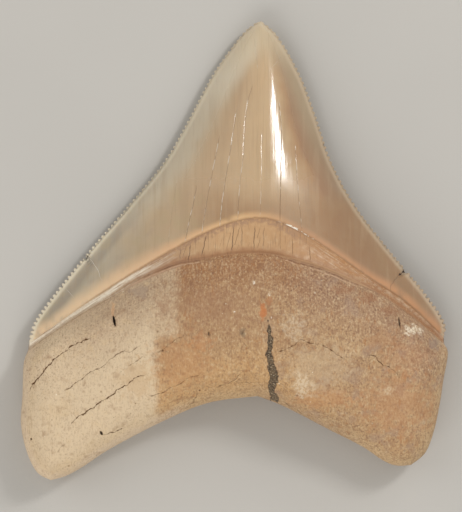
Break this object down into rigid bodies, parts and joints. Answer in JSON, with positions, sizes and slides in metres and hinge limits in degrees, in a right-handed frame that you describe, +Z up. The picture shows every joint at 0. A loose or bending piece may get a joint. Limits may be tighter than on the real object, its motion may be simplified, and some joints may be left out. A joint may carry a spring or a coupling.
{
  "type": "fossil shark tooth",
  "caption": "Large triangular fossil shark tooth with saw-edged crown, bare band at its neck and thick two-lobed root, lying flat on its outer face.",
  "frame": {"origin": "under the middle of the tooth's footprint, on the surface it lies on", "axes": "+Y from the root towards the tip of the crown, +X across the tooth to the right as seen from above, +Z up from the flat outer face to the rounded inner face"},
  "size_m": [0.0588, 0.0632, 0.0132],
  "materials": {
    "fossil_tooth": "satin"
  },
  "bodies": {
    "root": {"tooth": "fossil_tooth"}
  },
  "joints": []
}
